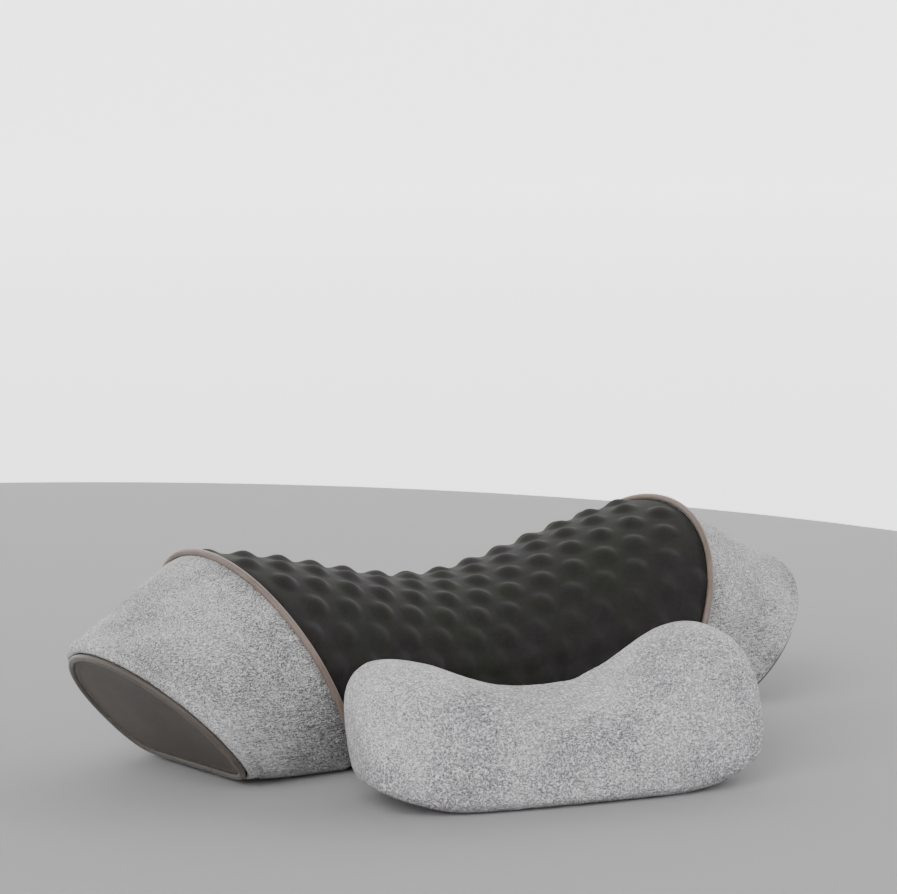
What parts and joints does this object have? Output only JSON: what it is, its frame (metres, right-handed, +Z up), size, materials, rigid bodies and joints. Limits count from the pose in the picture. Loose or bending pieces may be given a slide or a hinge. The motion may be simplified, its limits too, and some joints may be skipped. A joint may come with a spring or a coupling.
{
  "type": "shiatsu neck massager",
  "caption": "Saddle-shaped massage pillow with nubbed knit middle, heather end covers, flat end caps, rotating massage heads inside and a separate neck pad.",
  "frame": {"origin": "centre of the pillow's flat base, on the surface that it stands on", "axes": "+X along the pillow to the end with the buttons, -Y to the side where the neck pad stands, +Z up"},
  "size_m": [0.4594, 0.2941, 0.117],
  "materials": {
    "massage_knit": "matt stretch knit over moulded nubs",
    "heather_knit": "matt melange knit of light and dark yarns",
    "taupe_piping": "satin bead",
    "cap_plastic": "fine matt texture",
    "foam": "open-cell foam",
    "heating_film": "polyimide film",
    "chassis_plastic": "moulded",
    "button_plastic": "satin",
    "gear_nylon": "natural nylon",
    "steel": "bright",
    "brass": "machined",
    "copper": "lacquered winding",
    "node_rubber": "matt silicone",
    "circuit_board": "solder mask",
    "cell_wrap": "heat-shrink wrap",
    "light_lens": "frosted"
  },
  "bodies": {
    "pillow": {"battery_cell_left": "cell_wrap", "battery_cell_right": "cell_wrap", "button_board": "circuit_board", "cap_piping_left": "taupe_piping", "cap_piping_right": "taupe_piping", "chassis_screw_front_left": "steel", "chassis_screw_front_right": "steel", "chassis_screw_rear_left": "steel", "chassis_screw_rear_right": "steel", "control_board": "circuit_board", "end_cap_left": "cap_plastic", "end_cap_right": "cap_plastic", "end_cover_left": "heather_knit", "end_cover_right": "heather_knit", "foam_core_left": "foam", "foam_core_right": "foam", "foam_saddle": "foam", "heating_film": "heating_film", "lower_bush_left": "brass", "lower_bush_right": "brass", "lower_chassis": "chassis_plastic", "massage_cover": "massage_knit", "motor_bell_left": "chassis_plastic", "motor_bell_right": "chassis_plastic", "motor_can": "steel", "ring_piping_left": "taupe_piping", "ring_piping_right": "taupe_piping", "status_light": "light_lens", "upper_bush_left": "brass", "upper_bush_right": "brass", "upper_chassis": "chassis_plastic", "usb_c_socket": "steel", "worm_bearing_left": "gear_nylon", "worm_bearing_right": "gear_nylon"},
    "worm_drive": {"motor_shaft": "steel", "motor_rotor": "copper", "commutator": "copper", "worm_left": "brass", "worm_right": "brass"},
    "left_head": {"worm_wheel_left": "gear_nylon", "output_shaft_left": "steel", "node_carrier_left": "chassis_plastic"},
    "right_head": {"worm_wheel_right": "gear_nylon", "output_shaft_right": "steel", "node_carrier_right": "chassis_plastic"},
    "left_front_node": {"massage_node_left_front": "node_rubber"},
    "left_rear_node": {"massage_node_left_rear": "node_rubber"},
    "right_front_node": {"massage_node_right_front": "node_rubber"},
    "right_rear_node": {"massage_node_right_rear": "node_rubber"},
    "power_button": {"power_button": "button_plastic"},
    "heat_button": {"heat_button": "button_plastic"},
    "neck_pad": {"neck_pad_cover": "heather_knit", "neck_pad_core": "foam"}
  },
  "joints": [
    {"name": "left_head_spin", "type": "hinge", "parent": "pillow", "child": "left_head", "pos_m": [-0.05, 0, 0.024], "axis": [0, 0, 1], "continuous": true},
    {"name": "right_head_spin", "type": "hinge", "parent": "pillow", "child": "right_head", "pos_m": [0.05, 0, 0.024], "axis": [0, 0, 1], "continuous": true},
    {"name": "worm_spin", "type": "hinge", "parent": "pillow", "child": "worm_drive", "pos_m": [0, -0.0285, 0.024], "axis": [1, 0, 0], "continuous": true},
    {"name": "left_front_node_spin", "type": "hinge", "parent": "left_head", "child": "left_front_node", "pos_m": [-0.05, -0.024, 0.0663], "axis": [0, 0, 1], "continuous": true},
    {"name": "left_rear_node_spin", "type": "hinge", "parent": "left_head", "child": "left_rear_node", "pos_m": [-0.05, 0.024, 0.0663], "axis": [0, 0, 1], "continuous": true},
    {"name": "right_front_node_spin", "type": "hinge", "parent": "right_head", "child": "right_front_node", "pos_m": [0.05, -0.024, 0.0663], "axis": [0, 0, 1], "continuous": true},
    {"name": "right_rear_node_spin", "type": "hinge", "parent": "right_head", "child": "right_rear_node", "pos_m": [0.05, 0.024, 0.0663], "axis": [0, 0, 1], "continuous": true},
    {"name": "power_button_press", "type": "slide", "parent": "pillow", "child": "power_button", "axis": [-0.7193, 0, 0.6947], "range_m": [0, 0.0012], "stiffness_N_per_m": 600, "springref_m": -0.0004},
    {"name": "heat_button_press", "type": "slide", "parent": "pillow", "child": "heat_button", "axis": [-0.7193, 0, 0.6947], "range_m": [0, 0.0012], "stiffness_N_per_m": 600, "springref_m": -0.0004},
    {"name": "neck_pad_lift", "type": "slide", "parent": "pillow", "child": "neck_pad", "axis": [0, 0, 1], "range_m": [0, 0.25]}
  ],
  "couplings": [
    {"joint": "right_head_spin", "follows": "left_head_spin", "ratio": -1},
    {"joint": "worm_spin", "follows": "left_head_spin", "ratio": 30}
  ]
}
